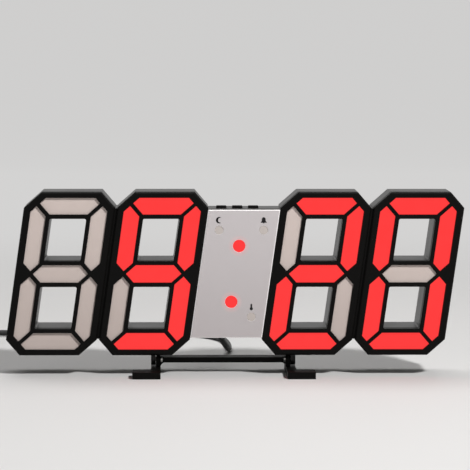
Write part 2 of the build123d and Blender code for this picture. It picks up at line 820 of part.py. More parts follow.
with BuildPart() as supply_plug:
    with BuildSketch(plug_plane):
        Polygon(
            (0, plug_y),
            (plug_radius, plug_y),
            (plug_radius, plug_y + plug_length),
            (plug_relief_radius, plug_y + plug_length),
            (cord_radius + relief_wall, cord_start),
            (0, cord_start),
            align=None,
        )
    revolve(axis=Axis((jack_x, 0, jack_z), (0, 1, 0)))
    fillet(supply_plug.edges().filter_by(GeomType.CIRCLE).group_by(SortBy.RADIUS)[-1], radius=plug_edge)
finish_part(supply_plug.part, "supply_plug")

# The lead's route: out of the plug, down to the table and away behind the case to the coil
coil_low = cord_radius + coil_floor_gap
cord_route = [
    (jack_x, cord_start, jack_z),
    (jack_x, 44.5, jack_z),
    (-14.6, 52.0, 23.6),
    (-9.9, 58.0, 15.6),
    (-4.6, 65.0, 8.2),
    (-1.4, 75.0, 2.4),
    (-0.6, 88.0, cord_radius),
    (-1.0, 108.0, cord_radius),
    (-3.4, 126.0, cord_radius),
    (-12.0, 141.0, cord_radius),
    (-30.0, 149.6, cord_radius),
    (-60.0, 151.4, cord_radius),
    (-94.0, 149.4, cord_radius),
    (-124.0, coil_start_y, coil_low),
    (coil_centre_x + cord_diameter, coil_start_y, coil_low),
]


def route_radii(points):
    """The largest arcs that the runs of a route leave room for, one for each corner."""
    radii = []
    for a, b, c in zip(points, points[1:], points[2:]):
        before = Vector(*b) - Vector(*a)
        after = Vector(*c) - Vector(*b)
        turn = radians(before.get_angle(after))
        radii.append(0.45 * min(before.length, after.length) / tan(turn / 2))
    return radii


def self_gap(wire, diameter, samples=900):
    """The least clear gap between a tube and its own other turns, measured on points along it."""
    points = [wire.position_at(n / samples) for n in range(samples + 1)]
    apart = int(3 * diameter / wire.length * samples) + 1
    return min(
        (points[a] - points[b]).length for a in range(samples + 1) for b in range(a + apart, samples + 1)
    ) - diameter


cord_radii = route_radii(cord_route)
with BuildPart() as power_cord:
    with BuildLine() as cord_line:
        FilletPolyline(*cord_route, radius=cord_radii)
    with BuildSketch(Plane(origin=cord_line.line @ 0, z_dir=cord_line.line % 0)):
        Circle(cord_radius)
    sweep(path=cord_line.wires()[0])
finish_part(power_cord.part, "power_cord")

# The put-away length: a two-layer coil that spirals in, climbs and spirals out again
half_step = coil_step / 2
coil_inner = coil_radius - coil_half_turns * half_step
coil_high = coil_low + coil_layer_step
with BuildPart() as cord_coil:
    with BuildLine() as coil_line:
        y = coil_start_y
        Line((coil_centre_x + cord_diameter, y, coil_low), (coil_centre_x, y, coil_low))
        for n in range(coil_half_turns):
            side = -1 if n % 2 == 0 else 1
            radius = coil_radius - n * half_step
            ends = [(coil_centre_x, y, coil_low), (coil_centre_x, y + 2 * side * radius, coil_low)]
            ThreePointArc(ends[0], (coil_centre_x + side * radius, y + side * radius, coil_low), ends[1])
            y += 2 * side * radius
        bulge = sqrt(coil_inner**2 + (coil_layer_step / 2) ** 2)
        crest = (coil_centre_x - bulge, y - coil_inner, (coil_low + coil_high) / 2)
        climb = (0, -coil_inner / bulge, coil_layer_step / (2 * bulge))
        TangentArc((coil_centre_x, y, coil_low), crest, tangent=(-1, 0, 0))
        TangentArc(crest, (coil_centre_x, y - 2 * coil_inner, coil_high), tangent=climb)
        y -= 2 * coil_inner
        for n in range(coil_half_turns - 1):
            side = 1 if n % 2 == 0 else -1
            radius = coil_inner + (n + 1) * half_step
            ends = [(coil_centre_x, y, coil_high), (coil_centre_x, y + 2 * side * radius, coil_high)]
            ThreePointArc(ends[0], (coil_centre_x + side * radius, y + side * radius, coil_high), ends[1])
            y += 2 * side * radius
        tail_x = coil_centre_x - coil_radius
        tail_y = y - coil_radius
        TangentArc((coil_centre_x, y, coil_high), (tail_x, tail_y, coil_high), tangent=(-1, 0, 0))
        Line((tail_x, tail_y, coil_high), (tail_x, tail_y - coil_tail, coil_high))
    with BuildSketch(Plane(origin=coil_line.line @ 0, z_dir=coil_line.line % 0)):
        Circle(cord_radius)
    sweep(path=coil_line.wires()[0])
finish_part(cord_coil.part, "cord_coil")

# Band that ties the coil
coil_middle_y = coil_start_y - coil_radius
tie_near = sqrt((coil_inner + half_step) ** 2 - (tie_width / 2 + half_step) ** 2) - cord_radius - slip
tie_far = coil_radius - half_step + cord_radius + slip
tie_low = coil_low - cord_radius - slip
tie_high = coil_high + cord_radius + slip
tie_length = tie_far - tie_near
tie_height = tie_high - tie_low
tie_x = coil_centre_x + tie_near + tie_length / 2
tie_origin = (tie_x, coil_middle_y + tie_width / 2, tie_low + tie_height / 2)
with BuildPart() as cord_tie:
    with BuildSketch(Plane(origin=tie_origin, x_dir=(1, 0, 0), z_dir=(0, -1, 0))):
        RectangleRounded(tie_length + 2 * tie_thickness, tie_height + 2 * tie_thickness, radius=tie_edge)
        Rectangle(tie_length, tie_height, mode=Mode.SUBTRACT)
    extrude(amount=tie_width)
finish_part(cord_tie.part, "cord_tie")

# USB plug at the far end, beside the coil: moulded grip with its relief, then the steel shell
usb_y = tail_y - coil_tail
usb_z = usb_floor_gap + usb_size[2] / 2
body_y = usb_y - usb_relief
with BuildPart() as usb_plug:
    with BuildSketch(Plane(origin=(tail_x, usb_y, coil_high), x_dir=(1, 0, 0), z_dir=(0, -1, 0))):
        Circle(cord_radius + relief_wall)
    with BuildSketch(Plane(origin=(tail_x, body_y, coil_high), x_dir=(1, 0, 0), z_dir=(0, -1, 0))):
        Circle(usb_relief_radius)
    loft()
    with BuildSketch(Plane(origin=(tail_x, body_y, usb_z), x_dir=(1, 0, 0), z_dir=(0, -1, 0))):
        RectangleRounded(usb_size[0], usb_size[2], radius=usb_edge)
    extrude(amount=usb_size[1])
finish_part(usb_plug.part, "usb_plug")

shell_y = body_y - usb_size[1]
with BuildPart() as usb_shell:
    with BuildSketch(Plane(origin=(tail_x, shell_y, usb_z), x_dir=(1, 0, 0), z_dir=(0, -1, 0))):
        Rectangle(usb_shell_size[0], usb_shell_size[2])
        inside = (usb_shell_size[0] - 2 * usb_shell_wall, usb_shell_size[2] - 2 * usb_shell_wall)
        Rectangle(*inside, mode=Mode.SUBTRACT)
        with Locations((0, usb_shell_size[2] / 2 - usb_shell_wall)):
            Rectangle(usb_shell_size[0] - usb_shell_wall, usb_tongue, align=(Align.CENTER, Align.MAX))
    extrude(amount=usb_shell_size[1])
finish_part(usb_shell.part, "usb_shell")

section = pi * cord_radius**2
cord_length = cord_line.wires()[0].length
coil_length = coil_line.wires()[0].length
print("cord radii", [round(radius, 1) for radius in cord_radii])
for name, part, length in (("cord", power_cord.part, cord_length), ("coil", cord_coil.part, coil_length)):
    print(name, "length", round(length, 1), "volume share", round(part.volume / section / length, 4))
print("lead length", round(cord_length + coil_length, 1))
print("coil gap", round(self_gap(coil_line.wires()[0], cord_diameter), 2))
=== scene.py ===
"""Looks of a digital LED desk clock: finishes, softened mouldings, panel signs, screws and supply lead.

Metres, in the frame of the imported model: X across the face, Y into the depth and Z up, with the table at
z = 0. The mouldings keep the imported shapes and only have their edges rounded.
"""
from __future__ import annotations

import logging
import math
from dataclasses import dataclass, field
from enum import Enum
from typing import Union

import bmesh
import bpy
from mathutils import Euler, Matrix, Vector

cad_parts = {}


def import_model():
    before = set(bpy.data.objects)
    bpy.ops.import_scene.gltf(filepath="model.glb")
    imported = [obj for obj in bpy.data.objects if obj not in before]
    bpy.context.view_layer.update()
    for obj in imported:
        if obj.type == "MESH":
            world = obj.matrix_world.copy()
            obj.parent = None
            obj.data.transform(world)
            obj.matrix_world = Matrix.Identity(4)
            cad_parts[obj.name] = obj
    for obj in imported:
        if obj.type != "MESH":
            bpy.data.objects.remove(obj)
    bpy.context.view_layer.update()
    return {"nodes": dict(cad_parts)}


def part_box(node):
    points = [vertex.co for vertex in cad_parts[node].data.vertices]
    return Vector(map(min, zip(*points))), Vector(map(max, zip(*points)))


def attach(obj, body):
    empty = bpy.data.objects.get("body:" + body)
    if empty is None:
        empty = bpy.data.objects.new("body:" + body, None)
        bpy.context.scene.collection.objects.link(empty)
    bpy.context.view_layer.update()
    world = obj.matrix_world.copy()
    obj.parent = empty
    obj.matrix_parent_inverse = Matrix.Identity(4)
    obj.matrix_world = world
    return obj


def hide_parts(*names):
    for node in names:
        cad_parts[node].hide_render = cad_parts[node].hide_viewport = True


LOG = logging.getLogger("desk_clock")
MM = 0.001
CASE = "case"
WELD = 0.001 * MM
FLAT_ANGLE = math.radians(0.5)
EDGE_ANGLE = math.radians(28)
EDGE_SEGMENTS = 2
SHADE_DEGREES = 50.0
Colour = tuple[float, float, float]
Place = tuple[float, float, float]
Outline = list[tuple[float, float]]
Operand = Union["Value", float]
Sockets = dict[Union[int, str], object]


def opaque(colour: Colour) -> tuple[float, float, float, float]:
    """The colour with a full alpha, as colour sockets take it."""
    return (*colour, 1.0)


class Value:
    """One shader value; arithmetic on it adds Math nodes to its tree."""

    def __init__(self, tree: ShaderTree, socket: bpy.types.NodeSocket) -> None:
        """Wraps an output socket of a tree."""
        self.tree = tree
        self.socket = socket

    def _math(self, operation: str, first: Operand, second: Operand) -> Value:
        """Adds one Math node.

        Args:
            operation: The Math node's operation.
            first: The left operand.
            second: The right operand.

        Returns:
            The node's result.
        """
        return self.tree.value("ShaderNodeMath", {"operation": operation}, {0: first, 1: second})

    def __add__(self, other: Operand) -> Value:
        """This value plus another."""
        return self._math("ADD", self, other)

    def __radd__(self, other: Operand) -> Value:
        """Another value plus this one."""
        return self._math("ADD", other, self)

    def __sub__(self, other: Operand) -> Value:
        """This value less another."""
        return self._math("SUBTRACT", self, other)

    def __rsub__(self, other: Operand) -> Value:
        """Another value less this one."""
        return self._math("SUBTRACT", other, self)

    def __mul__(self, other: Operand) -> Value:
        """This value times another."""
        return self._math("MULTIPLY", self, other)

    def __rmul__(self, other: Operand) -> Value:
        """Another value times this one."""
        return self._math("MULTIPLY", other, self)

    def ramp(self, low: float, high: float) -> Value:
        """A smooth step of this value.

        Args:
            low: Where the step starts, at 0.
            high: Where it ends, at 1.

        Returns:
            The step, held between 0 and 1.
        """
        settings = {"interpolation_type": "SMOOTHSTEP"}
        sockets = {"Value": self, "From Min": low, "From Max": high}
        return self.tree.value("ShaderNodeMapRange", settings, sockets)


def add_node(
    tree: bpy.types.NodeTree, kind: str, settings: dict[str, object], sockets: Sockets
) -> bpy.types.Node:
    """Adds a node to a shader's tree or to a geometry tree.

    Args:
        tree: The tree.
        kind: The node's type.
        settings: Its properties, which are set first.
        sockets: Values, links or lists of links for its inputs, by name or number.

    Returns:
        The new node.
    """
    made = tree.nodes.new(kind)
    for key, setting in settings.items():
        setattr(made, key, setting)
    for key, given in sockets.items():
        for value in given if isinstance(given, list) else [given]:
            source = value.socket if isinstance(value, Value) else value
            if isinstance(source, bpy.types.NodeSocket):
                tree.links.new(source, made.inputs[key])
            else:
                made.inputs[key].default_value = source
    return made


class ShaderTree:
    """The node tree of one material or of the world."""

    def __init__(self, owner: bpy.types.Material | bpy.types.World) -> None:
        """Empties the owner's tree.

        Args:
            owner: The new material or world.
        """
        self.owner = owner
        owner.use_nodes = True
        self.tree = owner.node_tree
        self.tree.nodes.clear()

    @classmethod
    def named(cls, name: str) -> ShaderTree:
        """The tree of a new material of that name."""
        return cls(bpy.data.materials.new(name))

    def node(self, kind: str, settings: dict[str, object], sockets: Sockets) -> bpy.types.Node:
        """Adds a node to this tree, as add_node does."""
        return add_node(self.tree, kind, settings, sockets)

    def value(
        self, kind: str, settings: dict[str, object], sockets: Sockets, output: int | str = 0
    ) -> Value:
        """Adds a node and wraps one of its outputs.

        Args:
            kind: The node's type.
            settings: Its properties.
            sockets: Values or links for its inputs.
            output: The output's name or number.

        Returns:
            That output.
        """
        return Value(self, self.node(kind, settings, sockets).outputs[output])

    def place(self) -> Value:
        """The surface point in the piece's own coordinates."""
        return self.value("ShaderNodeTexCoord", {}, {}, "Object")

    def shown(self) -> Value:
        """1 for what the camera sees, straight or in gloss, and 0 for what only lights."""
        rays = self.node("ShaderNodeLightPath", {}, {}).outputs
        return Value(self, rays["Is Camera Ray"]) + Value(self, rays["Is Glossy Ray"])

    def part_of(self, point: Value, axis: str) -> Value:
        """One coordinate of a point, by its letter."""
        return self.value("ShaderNodeSeparateXYZ", {}, {0: point}, axis)

    def distance(self, first: Value, second: Place) -> Value:
        """How far a point is from a fixed one."""
        return self.value("ShaderNodeVectorMath", {"operation": "DISTANCE"}, {0: first, 1: second}, "Value")

    def noise(self, point: Value, size: float, detail: float = 2.0) -> Value:
        """Soft noise.

        Args:
            point: Where it is read.
            size: The size of its blotches, in metres.
            detail: Its layers of finer noise.

        Returns:
            The noise, from 0 to 1.
        """
        sockets = {"Vector": point, "Scale": 1.0 / size, "Detail": detail}
        return self.value("ShaderNodeTexNoise", {}, sockets)

    def stretched(self, point: Value, scale: Place) -> Value:
        """The point with its coordinates scaled, for streaks."""
        return self.value("ShaderNodeMapping", {}, {"Vector": point, "Scale": scale})

    def mix(self, share: Operand, first: Colour | Value, second: Colour | Value) -> Value:
        """A mix of two colours.

        Args:
            share: How much of the second colour shows.
            first: The colour at a share of 0.
            second: The colour at a share of 1.

        Returns:
            The mixed colour.
        """
        ends = [end if isinstance(end, Value) else opaque(end) for end in (first, second)]
        return self.value("ShaderNodeMix", {"data_type": "RGBA"}, {0: share, 6: ends[0], 7: ends[1]}, 2)

    def bump(self, height: Value, depth: float, strength: float = 1.0) -> Value:
        """A normal roughened by a height.

        Args:
            height: The height, from 0 to 1.
            depth: The depth of the relief, in metres.
            strength: The share of it that shows.

        Returns:
            The normal.
        """
        return self.value("ShaderNodeBump", {}, {"Height": height, "Distance": depth, "Strength": strength})

    def surface(self, sockets: Sockets) -> bpy.types.Material:
        """Closes the tree with one principled surface.

        Args:
            sockets: Values or links for the shader's inputs.

        Returns:
            The finished material.
        """
        shader = self.value("ShaderNodeBsdfPrincipled", {}, sockets)
        self.node("ShaderNodeOutputMaterial", {}, {"Surface": shader})
        return self.owner


@dataclass(frozen=True)
class Look:
    """A finish: one principled surface, whose inputs each kind of finish works out."""

    def sockets(self, tree: ShaderTree, point: Value) -> Sockets:
        """Works out what the surface shows.

        Args:
            tree: The material's tree.
            point: The surface point.

        Returns:
            The shader's inputs.
        """
        raise NotImplementedError

    def material(self, name: str) -> bpy.types.Material:
        """Builds the finish under that name."""
        tree = ShaderTree.named(name)
        return tree.surface(self.sockets(tree, tree.place()))


@dataclass(frozen=True)
class MouldedPlastic(Look):
    """Moulded plastic with a fine tool grain, cloudy gloss and faint flow marks."""

    colour: Colour
    pale: Colour
    roughness: float
    specular: float = 0.4
    grain: float = 0.35 * MM
    grain_depth: float = 0.012 * MM
    grain_tint: float = 0.3
    relief: float = 0.6
    cloud: float = 14 * MM
    cloud_tint: float = 0.5
    cloud_gloss: float = 0.12

    def sockets(self, tree: ShaderTree, point: Value) -> Sockets:
        """The moulding's clouded colour and gloss, and its grain.

        Args:
            tree: The material's tree.
            point: The surface point.

        Returns:
            The shader's inputs.
        """
        cloud = tree.noise(point, self.cloud, 3.0)
        grain = tree.noise(point, self.grain, 1.0)
        tint = cloud * self.cloud_tint + grain * self.grain_tint
        return {
            "Base Color": tree.mix(tint, self.colour, self.pale),
            "Roughness": cloud * self.cloud_gloss + (self.roughness - self.cloud_gloss / 2),
            "Specular IOR Level": self.specular,
            "Normal": tree.bump(grain, self.grain_depth, self.relief),
        }


@dataclass(frozen=True)
class LitLens(Look):
    """A diffuser with its lamps on: a flat, even glow, a little stronger over the lamps."""

    glow: Colour
    dim: Colour
    body: Colour
    deep: Colour
    strength: float = 0.97
    lamp_spread: float = 5 * MM
    lamp_edge: tuple[float, float] = (0.3, 0.75)
    roughness: float = 0.35
    patch_gloss: float = 0.1
    specular: float = 0.12
    frost: float = 0.5 * MM
    frost_depth: float = 0.01 * MM
    relief: float = 0.4

    def sockets(self, tree: ShaderTree, point: Value) -> Sockets:
        """The glow, and the lens's own dim colour under it.

        Args:
            tree: The material's tree.
            point: The surface point.

        Returns:
            The shader's inputs.
        """
        patch = tree.noise(point, self.lamp_spread, 1.0)
        frost = tree.noise(point, self.frost, 1.0)
        return {
            "Base Color": tree.mix(patch, self.body, self.deep),
            "Roughness": patch * self.patch_gloss + self.roughness,
            "Specular IOR Level": self.specular,
            "Emission Color": tree.mix(patch.ramp(*self.lamp_edge), self.dim, self.glow),
            "Emission Strength": self.strength,
            "Normal": tree.bump(frost, self.frost_depth, self.relief),
        }


@dataclass(frozen=True)
class MilkyLens(Look):
    """A diffuser with its lamps off: milky plastic, clouded, with painted shade that darkens it towards its
    foot.
    """

    colour: Colour
    deep: Colour
    # Painted shade: the foot colour, spread over the heights, darkens the lens downwards.
    shaded_foot: Colour
    shade_heights: tuple[float, float]
    roughness: float = 0.42
    frost_gloss: float = 0.1
    specular: float = 0.35
    cloud: float = 6 * MM
    cloud_tint: float = 0.6
    frost: float = 0.4 * MM
    frost_tint: float = 0.2
    frost_depth: float = 0.012 * MM
    relief: float = 0.5

    def sockets(self, tree: ShaderTree, point: Value) -> Sockets:
        """The clouded colour, with painted shade that darkens it downwards, and the frost.

        Args:
            tree: The material's tree.
            point: The surface point.

        Returns:
            The shader's inputs.
        """
        cloud = tree.noise(point, self.cloud, 2.0)
        frost = tree.noise(point, self.frost, 1.0)
        clouded = tree.mix(cloud * self.cloud_tint + frost * self.frost_tint, self.colour, self.deep)
        # Painted shade: the colour runs from the clouded tone at the top down to the foot colour.
        lit_share = tree.part_of(point, "Z").ramp(*self.shade_heights)
        return {
            "Base Color": tree.mix(lit_share, self.shaded_foot, clouded),
            "Roughness": frost * self.frost_gloss + self.roughness,
            "Specular IOR Level": self.specular,
            "Normal": tree.bump(frost, self.frost_depth, self.relief),
        }


@dataclass(frozen=True)
class PanelPlastic(Look):
    """The colon panel: pale satin plastic, with painted shade towards its foot, a painted pink glow round
    the lit dots and a painted highlight at its bevel.
    """

    # The top and foot colours paint shade that darkens the face downwards.
    top: Colour
    shaded_foot: Colour
    # The edge colour and the edge light paint a highlight on the bevel.
    edge: Colour
    painted_bevel_light: Colour
    # The glow colour paints the lit dots' light onto the face.
    glow: Colour
    shade_heights: tuple[float, float]
    dots: tuple[Place, ...]
    dot_radius: float
    glow_reach: float = 1.5
    glow_tint: float = 0.4
    bevel_turn: tuple[float, float] = (0.05, 0.25)
    roughness: float = 0.4
    frost_gloss: float = 0.08
    specular: float = 0.35
    frost: float = 0.3 * MM
    frost_depth: float = 0.008 * MM
    relief: float = 0.4

    def sockets(self, tree: ShaderTree, point: Value) -> Sockets:
        """The face's colour with painted shade downwards, the painted glow round the dots and the painted
        highlight on the bevel.

        Args:
            tree: The material's tree.
            point: The surface point.

        Returns:
            The shader's inputs.
        """
        # Painted shade: the face darkens from the top colour down to the foot colour.
        colour = tree.mix(tree.part_of(point, "Z").ramp(*self.shade_heights), self.shaded_foot, self.top)
        # Painted glow: the lit dots' light spilling pink onto the face round each dot.
        reach = self.dot_radius * self.glow_reach
        for dot in self.dots:
            near = 1.0 - tree.distance(point, dot).ramp(self.dot_radius, reach)
            colour = tree.mix(near * self.glow_tint, colour, self.glow)
        # Painted highlight: where the face turns to the bevel, a pale colour and a faint emission stand for
        # light on the bevel.
        normal = tree.value("ShaderNodeNewGeometry", {}, {}, "Normal")
        bevel = (tree.part_of(normal, "Y") + 1.0).ramp(*self.bevel_turn)
        frost = tree.noise(point, self.frost, 1.0)
        return {
            "Base Color": tree.mix(bevel, colour, self.edge),
            "Roughness": frost * self.frost_gloss + self.roughness,
            "Specular IOR Level": self.specular,
            "Emission Color": tree.mix(bevel, (0.0, 0.0, 0.0), self.painted_bevel_light),
            "Emission Strength": 1.0,
            "Normal": tree.bump(frost, self.frost_depth, self.relief),
        }


@dataclass(frozen=True)
class PlatedSteel(Look):
    """Plated steel with fine drawn lines and a little tarnish."""

    colour: Colour
    dark: Colour
    roughness: float = 0.28
    line: float = 0.25 * MM
    line_stretch: Place = (1.0, 0.08, 1.0)
    line_gloss: float = 0.15
    line_depth: float = 0.006 * MM
    relief: float = 0.5
    tarnish: float = 2.5 * MM
    tarnish_tint: float = 0.6

    def sockets(self, tree: ShaderTree, point: Value) -> Sockets:
        """The tarnished colour and the drawn lines.

        Args:
            tree: The material's tree.
            point: The surface point.

        Returns:
            The shader's inputs.
        """
        lines = tree.noise(tree.stretched(point, self.line_stretch), self.line, 2.0)
        tarnish = tree.noise(point, self.tarnish, 3.0)
        return {
            "Base Color": tree.mix(tarnish * self.tarnish_tint, self.colour, self.dark),
            "Metallic": 1.0,
            "Roughness": lines * self.line_gloss + self.roughness,
            "Normal": tree.bump(lines, self.line_depth, self.relief),
        }


@dataclass(frozen=True)
class CircuitBoard(Look):
    """Lacquered glass-fibre board with a weave under the lacquer and faint tracks."""

    colour: Colour
    track: Colour
    weave: float = 0.5 * MM
    weave_stretch: Place = (1.0, 1.0, 0.2)
    weave_tint: float = 0.2
    weave_gloss: float = 0.15
    roughness: float = 0.25
    track_width: float = 1.6 * MM
    track_stretch: Place = (0.15, 1.0, 1.0)
    track_edge: tuple[float, float] = (0.52, 0.56)
    track_tint: float = 0.6
    track_height: float = 0.03 * MM
    relief: float = 0.6

    def sockets(self, tree: ShaderTree, point: Value) -> Sockets:
        """The board's weave and its raised tracks.

        Args:
            tree: The material's tree.
            point: The surface point.

        Returns:
            The shader's inputs.
        """
        weave = tree.noise(tree.stretched(point, self.weave_stretch), self.weave, 1.0)
        bands = tree.noise(tree.stretched(point, self.track_stretch), self.track_width, 0.0)
        tracks = bands.ramp(*self.track_edge)
        tint = tracks * self.track_tint + weave * self.weave_tint
        return {
            "Base Color": tree.mix(tint, self.colour, self.track),
            "Roughness": weave * self.weave_gloss + self.roughness,
            "Normal": tree.bump(tracks, self.track_height, self.relief),
        }


@dataclass(frozen=True)
class CordJacket(Look):
    """A lead's soft black jacket, satin with a faint bloom."""

    colour: Colour
    pale: Colour
    bloom: float = 7 * MM
    bloom_edge: tuple[float, float] = (0.45, 0.8)
    bloom_tint: float = 0.6
    bloom_gloss: float = 0.15
    roughness: float = 0.42
    specular: float = 0.4
    skin: float = 0.25 * MM
    skin_depth: float = 0.01 * MM
    relief: float = 0.5

    def sockets(self, tree: ShaderTree, point: Value) -> Sockets:
        """The jacket's bloom and the fine skin of its surface.

        Args:
            tree: The material's tree.
            point: The surface point.

        Returns:
            The shader's inputs.
        """
        bloom = tree.noise(point, self.bloom, 3.0)
        skin = tree.noise(point, self.skin, 1.0)
        tint = bloom.ramp(*self.bloom_edge) * self.bloom_tint
        return {
            "Base Color": tree.mix(tint, self.colour, self.pale),
            "Roughness": bloom * self.bloom_gloss + self.roughness,
            "Specular IOR Level": self.specular,
            "Normal": tree.bump(skin, self.skin_depth, self.relief),
        }


class Finish(Enum):
    """The clock's finishes, each with its look's name and the record's slot that it stands for."""

    FRAME = ("satin_black", "black_plastic")
    COVER = ("gloss_black", "black_plastic")
    PANEL = ("pale_panel", "panel_plastic")
    LIT = ("red_glow", "lens_lit")
    UNLIT = ("milky_lens", "lens_unlit")
    INDICATOR = ("indicator_lens", "lens_unlit")
    BOX = ("white_box", "white_plastic")
    BOARD = ("green_board", "circuit_board")
    RESIN = ("lamp_resin", "lamp_resin")
    CHIP = ("chip_black", "chip_black")
    RIBBON = ("grey_ribbon", "lead_plastic")
    STEEL = ("plated_steel", "steel")
    CORD = ("cord_jacket", "cord_black")
    INK = ("printed_ink", "black_plastic")

    @property
    def look(self) -> str:
        """The look's name, which its material takes."""
        return self.value[0]

    @property
    def slot(self) -> str:
        """The record's material slot."""
        return self.value[1]


class Palette:
    """All finished materials of the clock."""

    def __init__(self, panel: PanelPlastic) -> None:
        """Builds every material once.

        Args:
            panel: The panel's finish, whose places come from the frame.
        """
        black = (0.0022, 0.002, 0.0018)
        black_pale = (0.0044, 0.0041, 0.0038)
        soft_black = (0.0065, 0.006, 0.0057)
        soft_pale = (0.011, 0.0102, 0.0098)
        # The frame's height range, over which the lenses' painted shade darkens them towards the foot.
        shade_heights = tuple(corner.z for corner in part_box("front_frame"))
        looks: dict[Finish, Look] = {
            Finish.FRAME: MouldedPlastic(black, black_pale, roughness=0.46, specular=0.07),
            Finish.COVER: MouldedPlastic(
                soft_black, soft_pale, roughness=0.36, specular=0.3, grain=0.5 * MM, grain_depth=0.004 * MM
            ),
            Finish.PANEL: panel,
            Finish.LIT: LitLens(
                glow=(1.0, 0.044, 0.044),
                dim=(0.985, 0.042, 0.042),
                body=(0.05, 0.003, 0.003),
                deep=(0.03, 0.002, 0.002),
            ),
            Finish.UNLIT: MilkyLens(
                colour=(0.66, 0.565, 0.525),
                deep=(0.58, 0.49, 0.45),
                shaded_foot=(0.52, 0.442, 0.408),
                shade_heights=shade_heights,
            ),
            Finish.INDICATOR: MilkyLens(
                colour=(0.55, 0.5, 0.47),
                deep=(0.52, 0.47, 0.44),
                shaded_foot=(0.5, 0.45, 0.42),
                shade_heights=shade_heights,
            ),
            Finish.BOX: MouldedPlastic((0.8, 0.8, 0.78), (0.86, 0.86, 0.84), roughness=0.5),
            Finish.BOARD: CircuitBoard((0.02, 0.14, 0.05), (0.05, 0.26, 0.1)),
            Finish.RESIN: MouldedPlastic((0.75, 0.7, 0.5), (0.85, 0.8, 0.62), roughness=0.25),
            Finish.CHIP: MouldedPlastic((0.018, 0.018, 0.018), (0.03, 0.03, 0.03), roughness=0.5),
            Finish.RIBBON: MouldedPlastic((0.5, 0.5, 0.5), (0.6, 0.6, 0.6), roughness=0.4),
            Finish.STEEL: PlatedSteel((0.62, 0.61, 0.59), (0.45, 0.44, 0.42)),
            Finish.CORD: CordJacket((0.012, 0.012, 0.012), (0.022, 0.021, 0.02)),
            Finish.INK: MouldedPlastic(
                (0.012, 0.011, 0.012), (0.02, 0.019, 0.02), roughness=0.55, specular=0.1
            ),
        }
        self.materials = {finish: look.material(finish.look) for finish, look in looks.items()}

    def dress(self, node: bpy.types.Object, finish: Finish) -> None:
        """Gives an object its one material."""
        node.data.materials.clear()
        node.data.materials.append(self.materials[finish])


class NodeGroup:
    """A geometry-node tree with named sizes."""

    def __init__(self, name: str, sizes: dict[str, str]) -> None:
        """Makes the tree and its inputs.

        Args:
            name: The tree's name.
            sizes: Each input's name and socket type.
        """
        self.tree = bpy.data.node_groups.new(name, "GeometryNodeTree")
        self.tree.interface.new_socket("Geometry", in_out="INPUT", socket_type="NodeSocketGeometry")
        for size, kind in sizes.items():
            self.tree.interface.new_socket(size, in_out="INPUT", socket_type=kind)
        self.tree.interface.new_socket("Material", in_out="INPUT", socket_type="NodeSocketMaterial")
        self.tree.interface.new_socket("Geometry", in_out="OUTPUT", socket_type="NodeSocketGeometry")
        self.inputs = self.tree.nodes.new("NodeGroupInput").outputs

    def node(self, kind: str, settings: dict[str, object], sockets: Sockets) -> bpy.types.NodeOutputs:
        """Adds a node to this tree, as add_node does, and gives its outputs."""
        return add_node(self.tree, kind, settings, sockets).outputs

    def close(self, instances: bpy.types.NodeSocket) -> None:
        """Ends the tree in real, dressed geometry.

        Args:
            instances: The instances that the tree has placed.
        """
        real = self.node("GeometryNodeRealizeInstances", {}, {0: instances})
        sockets = {"Geometry": real[0], "Material": self.inputs["Material"]}
        dressed = self.node("GeometryNodeSetMaterial", {}, sockets)
        self.node("NodeGroupOutput", {}, {0: dressed[0]})

    def run(self, name: str, points: list[Vector], sizes: dict[str, object]) -> bpy.types.Object:
        """Runs the tree on a set of points.

        Args:
            name: The piece's name.
            points: The vertices that the tree works on.
            sizes: A value for each named input.

        Returns:
            A plain mesh object with the result.
        """
        mesh = bpy.data.meshes.new(name)
        mesh.from_pydata([tuple(point) for point in points], [], [])
        piece = add_object(name, mesh)
        modifier = piece.modifiers.new(name, "NODES")
        modifier.node_group = self.tree
        for item in self.tree.interface.items_tree:
            if item.item_type == "SOCKET" and item.in_out == "INPUT" and item.name in sizes:
                modifier[item.identifier] = sizes[item.name]
        return applied(piece)


def add_object(name: str, data: bpy.types.ID) -> bpy.types.Object:
    """Links a new object into the scene.

    Args:
        name: The object's name.
        data: Its mesh, curve, lamp or camera.

    Returns:
        The new object.
    """
    made = bpy.data.objects.new(name, data)
    bpy.context.scene.collection.objects.link(made)
    return made


def applied(piece: bpy.types.Object) -> bpy.types.Object:
    """Turns an object's modifiers into plain mesh.

    Args:
        piece: A mesh object with modifiers.

    Returns:
        The same object, with no modifier left.
    """
    bpy.context.view_layer.update()
    graph = bpy.context.evaluated_depsgraph_get()
    mesh = bpy.data.meshes.new_from_object(piece.evaluated_get(graph), depsgraph=graph)
    old = piece.data
    piece.modifiers.clear()
    piece.data = mesh
    mesh.name = piece.name
    bpy.data.meshes.remove(old)
    return piece


def mesh_piece(name: str, form: bmesh.types.BMesh) -> bpy.types.Object:
    """Makes an object from a form, with its normals turned outwards.

    Args:
        name: The piece's name.
        form: The form, which is freed.

    Returns:
        The new object.
    """
    bmesh.ops.recalc_face_normals(form, faces=form.faces)
    mesh = bpy.data.meshes.new(name)
    form.to_mesh(mesh)
    form.free()
    return add_object(name, mesh)


def merged(node: str) -> bmesh.types.BMesh:
    """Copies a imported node's mesh and joins its loose triangles.

    Args:
        node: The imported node's name.

    Returns:
        The joined form.
    """
    form = bmesh.new()
    form.from_mesh(bpy.data.objects[node].data)
    bmesh.ops.remove_doubles(form, verts=form.verts, dist=WELD)
    return form


